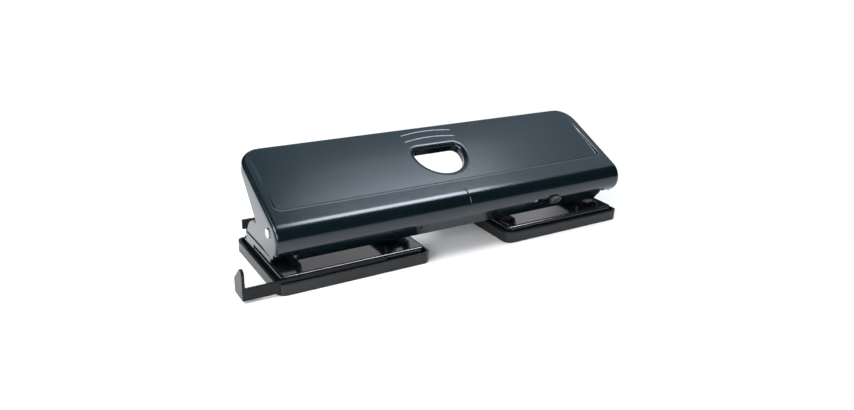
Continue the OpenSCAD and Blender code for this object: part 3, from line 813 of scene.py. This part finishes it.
# %% Give the sheet its thickness
skin_mesh = bpy.data.meshes.new("handle_skin")
skin_mesh.from_pydata(skin.points, [], skin.faces)
matte = skin_mesh.attributes.new("panel", "FLOAT", "POINT")
# The second number is where the bead's paint is lightened as a painted highlight.
painted_bead_highlight = skin_mesh.attributes.new("painted_bead_highlight", "FLOAT", "POINT")
for key, number in skin.index.items():
    if len(key) == 2:  # a point of the sheet: keys of the bends and walls are longer
        matte.data[number].value = smooth(0, PANEL_RIM, panel_inside(key[0], -key[1]))
        painted_bead_highlight.data[number].value = bead(key[0], -key[1])
work = bmesh.new()
work.from_mesh(skin_mesh)
bmesh.ops.remove_doubles(work, verts=work.verts, dist=WELD_SHEET * MM)
bmesh.ops.dissolve_degenerate(work, edges=work.edges, dist=SLIVER * MM)
bmesh.ops.recalc_face_normals(work, faces=work.faces)
work.faces.ensure_lookup_table()
top_face = max(work.faces, key=lambda face: face.calc_center_median().z)
if top_face.normal.z < 0:
    bmesh.ops.reverse_faces(work, faces=work.faces)
work.to_mesh(skin_mesh)
work.free()
handle_mesh = with_modifiers(skin_mesh, ("SOLIDIFY", {"thickness": SHEET * MM, "offset": -1.0}))
finish_mesh(handle_mesh, handle_paint)
print(len(handle_mesh.polygons), "faces in the folded sheet")

# %% [markdown]
# ## Collar of the finger hole
# A bare hole in thin steel would cut a finger, so the sheet rolls down into a collar. A collar is one
# cross-section swept round one outline. Its top carries on the roll that the sheet began, lowered by the
# depth of the panel at each point, so that both meet on the sloping sheet all the way round.

# %% Sweep the collar
COLLAR_H, COLLAR_T, COLLAR_EDGE = 6.8, 1.2, 0.3
LIP, LIP_TUCK, LIP_PROUD = 1.5, 0.15, 0.02
ROUND_STEPS, CORNER_STEPS, ROLL_STEPS = 64, 8, 8


def finger_path():
    """Points of the finger hole's outline with their ways out."""
    path = []

    def arc(u, v, radius, start, sweep, steps):
        for k in range(steps + 1):
            turn = start + sweep * k / steps
            way = (cos(turn), sin(turn))
            path.append(((u + radius * way[0], v + radius * way[1]), way))

    corner_u, corner_v = FINGER_HALF - FINGER_CORNER, FINGER_V + FINGER_BACK - FINGER_CORNER
    arc(0.0, FINGER_V, FINGER_HALF, pi, pi, ROUND_STEPS)
    arc(corner_u, corner_v, FINGER_CORNER, 0.0, pi / 2, CORNER_STEPS)
    for k in range(1, 2 * CORNER_STEPS):
        path.append(((corner_u * (1 - k / CORNER_STEPS), corner_v + FINGER_CORNER), (0.0, 1.0)))
    arc(-corner_u, corner_v, FINGER_CORNER, pi / 2, pi / 2, CORNER_STEPS)
    return path


roll_out = [LIP * (1 - k / ROLL_STEPS) ** 2 for k in range(1, ROLL_STEPS + 1)]
straight_h = COLLAR_H - ROLL_DEEP - COLLAR_EDGE
collar_section = [(LIP, -finger_roll(LIP) - LIP_TUCK)]
collar_section += [(out, LIP_PROUD - finger_roll(out)) for out in roll_out]
collar_section += [(0, -ROLL_DEEP - straight_h * k / WALL_STEPS) for k in range(1, WALL_STEPS + 1)]
collar_section += [(COLLAR_T / 2, -COLLAR_H), (COLLAR_T, COLLAR_EDGE - COLLAR_H),
                   (COLLAR_T, -ROLL_DEEP - SHEET)]
collar_points, collar_faces = [], []
finger_outline = finger_path()
for (u, v), way in finger_outline:
    top = NOSE_R - panel_depth(u + FINGER_CUT * way[0], v + FINGER_CUT * way[1])
    collar_points += [on_handle(u + out * way[0], v + out * way[1], top + height)
                      for out, height in collar_section]
ring = len(collar_section)
for i in range(len(finger_outline)):
    here, after = i * ring, (i + 1) % len(finger_outline) * ring
    for k in range(ring):
        above = (k + 1) % ring
        collar_faces.append((here + k, here + above, after + above, after + k))
collar_mesh = bpy.data.meshes.new("finger_collar")
collar_mesh.from_pydata(collar_points, [], collar_faces)
work = bmesh.new()
work.from_mesh(collar_mesh)
bmesh.ops.remove_doubles(work, verts=work.verts, dist=WELD_SHEET * MM)
bmesh.ops.recalc_face_normals(work, faces=work.faces)
work.to_mesh(collar_mesh)
work.free()
finish_mesh(collar_mesh, handle_paint, CRISP_ROUND)
place_piece("handle_sheet", handle_mesh, "handle", ["handle_shell"])
place_piece("finger_collar", collar_mesh, "handle")
print("collar of", len(collar_mesh.polygons), "faces")

# %% [markdown]
# ## Pieces whose CAD shape is already right
# Plates, brackets, trays and pins are true in CAD; they only lack the small radius that every real edge
# has. A merged copy with a fine bevel catches a thread of light along each edge, which is what makes it
# read as metal or plastic. The bevel takes only true corners, so curved faces stay smooth.

# %% Dress the plates, brackets, trays and pins
for side in ("left", "right"):
    dress(f"base_plate_{side}", "frame", base_enamel, 0.15, 1)
    dress(f"side_plate_{side}", "frame", handle_paint, 0.25)
    dress(f"press_rail_{side}", "handle", rail_black, 0.25)
    dress(f"tray_{side}", f"{side}_tray", tray_plastic, 0.2)
for number in range(1, 5):
    dress(f"punch_bracket_{number}", "frame", base_enamel, 0.25)
    dress(f"die_{number}", "frame", steel, 0.15)
    dress(f"punch_pin_{number}", f"pin_{number}", steel, 0.15)
dress("tie_rail", "frame", rail_black, 0.3)
dress("pivot_axle", "frame", steel, 0.5, 3)
dress("axle_clips", "frame", steel, 0.15)
dress("lock_slider", "lock", rail_black, 0.15)
dress("lock_knob", "lock", knob_plastic, 0.45, 3)
dress("paper_guide", "guide", guide_plastic, 0.4, 3)

# %% [markdown]
# ## Return springs
# Each pin is lifted by a coil of round wire. A coil follows a path, so Geometry Nodes make it: a spiral
# curve, a circle swept along it, and a move to the pin. The sizes are the tree's inputs.

# %% Geometry Nodes: coil of wire
def node_tree(name, *inputs):
    """An empty Geometry Nodes tree with named inputs and one geometry output."""
    tree = bpy.data.node_groups.new(name, "GeometryNodeTree")
    for label, kind in inputs:
        tree.interface.new_socket(label, in_out="INPUT", socket_type=kind)
    tree.interface.new_socket("Geometry", in_out="OUTPUT", socket_type="NodeSocketGeometry")
    return tree, tree.nodes.new("NodeGroupInput"), tree.nodes.new("NodeGroupOutput")


def add(tree, kind, **inputs):
    """Adds a node with values or links on its named sockets, and returns its first output."""
    node = tree.nodes.new(kind)
    for name, value in inputs.items():
        socket = node.inputs[name.replace("_", " ")]
        if isinstance(value, bpy.types.NodeSocket):
            tree.links.new(value, socket)
        else:
            socket.default_value = value
    return node.outputs[0]


def end_tree(tree, exit_node, geometry, material):
    """Closes a tree as the export needs it: real geometry with its material."""
    realized = add(tree, "GeometryNodeRealizeInstances", Geometry=geometry)
    painted = add(tree, "GeometryNodeSetMaterial", Geometry=realized, Material=material)
    tree.links.new(painted, exit_node.inputs["Geometry"])


def grow(name, tree, values, points=()):
    """Runs a tree on an object of loose points and returns the result as a plain mesh."""
    seed = bpy.data.meshes.new(name)
    seed.from_pydata([tuple(p) for p in points], [], [])
    carrier = bpy.data.objects.new(name + "_seed", seed)
    bpy.context.collection.objects.link(carrier)
    modifier = carrier.modifiers.new("grow", "NODES")
    modifier.node_group = tree
    for item in tree.interface.items_tree:
        if item.in_out == "INPUT" and item.name in values:
            modifier[item.identifier] = values[item.name]
    mesh = evaluated(carrier)
    bpy.data.objects.remove(carrier)
    mesh.name = name
    return mesh


TURN_POINTS, WIRE_SIDES = 40, 12
coil_tree, coil_in, coil_out = node_tree(
    "spring_coil", ("Points", "NodeSocketGeometry"), ("Turns", "NodeSocketFloat"),
    ("Radius", "NodeSocketFloat"), ("Wire", "NodeSocketFloat"), ("Height", "NodeSocketFloat"),
    ("Seat", "NodeSocketVector"))
given = coil_in.outputs
spiral = add(coil_tree, "GeometryNodeCurveSpiral", Resolution=TURN_POINTS, Rotations=given["Turns"],
             Start_Radius=given["Radius"], End_Radius=given["Radius"], Height=given["Height"])
wire = add(coil_tree, "GeometryNodeCurvePrimitiveCircle", Resolution=WIRE_SIDES, Radius=given["Wire"])
tube = add(coil_tree, "GeometryNodeCurveToMesh", Curve=spiral, Profile_Curve=wire, Fill_Caps=True)
seated = add(coil_tree, "GeometryNodeTransform", Geometry=tube, Translation=given["Seat"])
end_tree(coil_tree, coil_out, seated, steel)
print("coil tree of", len(coil_tree.nodes), "nodes")

# %% Set the four springs
COIL_TURNS, COIL_D, WIRE_D = 5.0, 7.4, 0.7
for number in range(1, 5):
    low, high = box_mm(f"return_spring_{number}")
    seat = Vector(((low.x + high.x) / 2, (low.y + high.y) / 2, low.z + WIRE_D / 2)) * MM
    mesh = grow(f"coil_{number}", coil_tree, {
        "Turns": COIL_TURNS, "Radius": COIL_D / 2 * MM, "Wire": WIRE_D / 2 * MM,
        "Height": (high.z - low.z - WIRE_D) * MM, "Seat": seat})
    finish_mesh(mesh, steel, CRISP_ROUND)
    spring = place_piece(f"spring_{number}", mesh, "frame", [f"return_spring_{number}"])
    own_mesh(spring)
print("four coils of", len(mesh.polygons), "faces")

# %% [markdown]
# ## Rivets
# Rivets hold the brackets, the rear rail and the side plates. They repeat, so one tree places a domed
# head, a shank and a flat tail at every point it is given. The points are the CAD rivets' own places:
# each rivet's middle is found from the islands of its CAD mesh. The side plates' small rivets keep their
# CAD form, with softened edges.

# %% Places of the CAD rivets
def island_boxes(node):
    """Lowest and highest corner of each separate solid of a CAD node."""
    work = bmesh.new()
    work.from_mesh(merged_copy(node))
    left, boxes = set(work.verts), []
    while left:
        island, stack = set(), [left.pop()]
        while stack:
            vert = stack.pop()
            island.add(vert)
            for edge in vert.link_edges:
                other = edge.other_vert(vert)
                if other in left:
                    left.remove(other)
                    stack.append(other)
        boxes.append((Vector([min(v.co[k] for v in island) for k in range(3)]),
                      Vector([max(v.co[k] for v in island) for k in range(3)])))
    work.free()
    return sorted(boxes, key=lambda pair: tuple(pair[0]))


rivet_boxes = {node: island_boxes(node) for node in ("bracket_rivets", "rail_rivets")}
print({node: len(boxes) for node, boxes in rivet_boxes.items()})

# %% Geometry Nodes: rivets
HEAD_SIDES, HEAD_RINGS, SHANK_SIDES = 28, 14, 24


def rivet_tree():
    """A tree that sets a rivet at every point, with the base of its domed head there."""
    tree, entry, exit_node = node_tree(
        "rivets", ("Points", "NodeSocketGeometry"), ("Head", "NodeSocketFloat"),
        ("Dome", "NodeSocketFloat"), ("Shank", "NodeSocketFloat"), ("Length", "NodeSocketFloat"),
        ("Tail", "NodeSocketFloat"), ("Tail height", "NodeSocketFloat"))
    given = entry.outputs

    def rod(radius, depth):
        return add(tree, "GeometryNodeMeshCylinder", Vertices=SHANK_SIDES, Radius=radius, Depth=depth)

    def lowered(geometry, share):
        """Moves geometry down by a share of the rivet's length."""
        down = tree.nodes.new("ShaderNodeMath")
        down.operation = "MULTIPLY"
        tree.links.new(given["Length"], down.inputs[0])
        down.inputs[1].default_value = -share
        move = add(tree, "ShaderNodeCombineXYZ", Z=down.outputs[0])
        return add(tree, "GeometryNodeTransform", Geometry=geometry, Translation=move)

    ball = add(tree, "GeometryNodeMeshUVSphere", Segments=HEAD_SIDES, Rings=HEAD_RINGS, Radius=given["Head"])
    flattened = add(tree, "ShaderNodeCombineXYZ", X=1.0, Y=1.0, Z=given["Dome"])
    dome = add(tree, "GeometryNodeTransform", Geometry=ball, Scale=flattened)
    shank = lowered(rod(given["Shank"], given["Length"]), 0.5)
    tail = lowered(rod(given["Tail"], given["Tail height"]), 1.0)
    join = tree.nodes.new("GeometryNodeJoinGeometry")
    for geometry in (dome, shank, tail):
        tree.links.new(geometry, join.inputs[0])
    placed = add(tree, "GeometryNodeInstanceOnPoints", Points=given["Points"], Instance=join.outputs[0])
    end_tree(tree, exit_node, placed, steel)
    return tree


rivets = rivet_tree()
RIVET = {"Head": 2.6 * MM, "Dome": 0.38, "Shank": 1.5 * MM, "Tail": 2.2 * MM, "Tail height": 0.7 * MM}
HEAD_H = 1.0
for node, boxes in rivet_boxes.items():
    low, high = boxes[0]
    length = high.z - HEAD_H * MM - low.z - RIVET["Tail height"] / 2
    points = [((a.x + b.x) / 2, (a.y + b.y) / 2, b.z - HEAD_H * MM) for a, b in boxes]
    mesh = grow(node + "_grown", rivets, {**RIVET, "Length": length}, points)
    finish_mesh(mesh, steel)
    place_piece(node + "_set", mesh, "frame", [node])
    print(node, len(boxes), "rivets")
dress("side_rivets", "frame", handle_paint, 0.2)

# %% [markdown]
# ## Floor and studio
# The punch stands on a white table in front of a low white wall. The room above and in front of it is
# dark, and those dark bands in the nose and in the bends are what shows how round they are. So the world
# is a studio for glossy rays: a white wall behind the table, dark round it, and even light for the rest.
# The table turns to plain white away from the punch, for camera rays only, and keeps the shadow near it.

# %% Floor
TABLE_HALF = 6.0
WHITE_FROM, WHITE_TO = 0.17, 0.33


def white_floor():
    """The table: a white plane with its material."""
    mesh = bpy.data.meshes.new("table")
    corners = [(x * TABLE_HALF, y * TABLE_HALF, 0) for x, y in ((-1, -1), (1, -1), (1, 1), (-1, 1))]
    mesh.from_pydata(corners, [], [(0, 1, 2, 3)])
    material, shader, place = new_finish("table_white", Roughness=0.9)
    cloud = grain(place, 3.0, 2)
    feed(shader, Base_Color=cloud.blend(rgb(0.93, 0.93, 0.93), rgb(0.95, 0.95, 0.95)))
    tree = material.node_tree
    seen = Shade(tree, tree.nodes.new("ShaderNodeLightPath").outputs["Is Camera Ray"])
    distance = place.make("ShaderNodeVectorMath", {"operation": "LENGTH"}, out=1, i0=place)
    plain = place.make("ShaderNodeEmission", Color=rgb(1, 1, 1), Strength=1.0)
    mixed = place.make("ShaderNodeMixShader", i0=seen * distance.smooth(WHITE_FROM, WHITE_TO),
                       i1=Shade(tree, shader.outputs[0]), i2=plain)
    tree.links.new(mixed.socket, tree.nodes["Material Output"].inputs["Surface"])
    finish_mesh(mesh, material)
    floor = bpy.data.objects.new("table", mesh)
    bpy.context.collection.objects.link(floor)


white_floor()
print("table", 2 * TABLE_HALF, "m wide")

# %% World
WALL_TOP, WALL_LEFT, WALL_RIGHT, WALL_GRADE = (0.78, 0.88), (-0.2, 0.1), (0.86, 1.0), (0.3, 0.95)
LEAST_DEPTH = 0.02
EVEN_FROM, EVEN_TO = -0.3, 0.6


def studio_world():
    """White for the camera, the wall for glossy rays, and even light for all others."""
    world = bpy.data.worlds.new("studio")
    bpy.context.scene.world = world
    world.use_nodes = True
    tree = world.node_tree
    tree.nodes.clear()
    way = Shade(tree, tree.nodes.new("ShaderNodeTexCoord").outputs["Generated"])
    path = tree.nodes.new("ShaderNodeLightPath")
    camera, glossy = (Shade(tree, path.outputs[f"Is {kind} Ray"]) for kind in ("Camera", "Glossy"))
    split = way.make("ShaderNodeSeparateXYZ", Vector=way)
    across, back, height = (Shade(tree, split.socket.node.outputs[axis]) for axis in ("X", "Y", "Z"))
    depth = back.maths("MAXIMUM", back, LEAST_DEPTH)
    rise, aside = height / depth, across / depth
    wall = (1 - rise.smooth(*WALL_TOP)) * aside.smooth(*WALL_LEFT) * (1 - aside.smooth(*WALL_RIGHT))
    white = aside.smooth(*WALL_GRADE).blend(rgb(0.56, 0.545, 0.58), rgb(0.86, 0.84, 0.89))
    room = wall.blend(rgb(0.012, 0.015, 0.018), white)
    even = back.smooth(EVEN_FROM, EVEN_TO).blend(rgb(0.22, 0.225, 0.23), rgb(0.56, 0.565, 0.57))
    soft = glossy.blend(even, room)
    seen = camera.blend(soft, rgb(1.0, 1.0, 1.0))
    background = tree.nodes.new("ShaderNodeBackground")
    exit_node = tree.nodes.new("ShaderNodeOutputWorld")
    tree.links.new(seen.socket, background.inputs["Color"])
    tree.links.new(background.outputs[0], exit_node.inputs["Surface"])


studio_world()
print("studio ready")

# %% [markdown]
# ## Lamps
# Four rectangular soft boxes light the table. Each is placed by the direction it lights from, seen from
# the punch, so that moving a highlight is a matter of turning one angle. A fifth, narrow one only draws
# the thread of light along the front of the base plates: light linking keeps it off everything else.

# %% Soft boxes
def soft_box(name, azimuth, height, distance, size, power, colour=(1, 1, 1)):
    """An area lamp. Azimuth runs from the back towards the right, height up from the table, in degrees."""
    lamp = bpy.data.lights.new(name, "AREA")
    lamp.shape, lamp.size, lamp.size_y = "RECTANGLE", size[0], size[1]
    lamp.energy, lamp.color = power, colour
    box = bpy.data.objects.new(name, lamp)
    bpy.context.collection.objects.link(box)
    turn, rise = radians(azimuth), radians(height)
    box.location = Vector((sin(turn) * cos(rise), cos(turn) * cos(rise), sin(rise))) * distance
    box.rotation_euler = box.location.to_track_quat("Z", "Y").to_euler()
    return box


soft_box("key_box", 91, 66, 1.3, (0.43, 0.45), 9.2, (1.0, 1.0, 1.06))
soft_box("fill_box", 58, 53, 1.3, (1.3, 0.8), 2.7, (0.74, 0.92, 1.1))
soft_box("side_box", -95, 40, 0.42, (0.2, 0.2), 1.2)
soft_box("front_box", 226, 26, 1.2, (0.9, 0.5), 8.0)
edge_box = soft_box("edge_box", 118, 60, 1.3, (0.24, 0.7), 11.0)
edge_lit = bpy.data.collections.new("edge_lit")
edge_box.light_linking.receiver_collection = edge_lit
for side in ("left", "right"):
    edge_lit.objects.link(bpy.data.objects[f"base_plate_{side}_dressed"])
print("five soft boxes")

# %% [markdown]
# ## Camera
# The camera was found from the photograph's straight edges: its place, its heading and a slight roll.
# The lens shift is small and comes from the same fit.

# %% Camera
CAMERA_AT = Vector((-255.16, -390.7, 203.26))
YAW, PITCH, ROLL = radians(32.38), radians(22.35), radians(2.27)
FOCAL_PX, CENTRE_PX = 739.47, (431.54, 216.37)
IMAGE_W, IMAGE_H = 854, 410

ahead = Vector((sin(YAW) * cos(PITCH), cos(YAW) * cos(PITCH), -sin(PITCH)))
level = Vector((cos(YAW), -sin(YAW), 0))
upright = level.cross(ahead)
right = level * cos(ROLL) + upright * sin(ROLL)
up = upright * cos(ROLL) - level * sin(ROLL)
lens = bpy.data.cameras.new("camera")
lens.sensor_width = 36.0
lens.lens = FOCAL_PX * lens.sensor_width / IMAGE_W
lens.shift_x = (IMAGE_W / 2 - CENTRE_PX[0]) / IMAGE_W
lens.shift_y = (CENTRE_PX[1] - IMAGE_H / 2) / IMAGE_W
lens.clip_start, lens.clip_end = 0.01, 50.0
camera = bpy.data.objects.new("camera", lens)
bpy.context.collection.objects.link(camera)
axes = Matrix((right, up, -ahead)).transposed().to_4x4()
camera.matrix_world = Matrix.Translation((CAMERA_AT + Vector((FRAME_X, 0, 0))) * MM) @ axes
bpy.context.scene.camera = camera
bpy.context.scene.view_settings.view_transform = "Standard"
print("camera at", [round(x, 3) for x in camera.location])
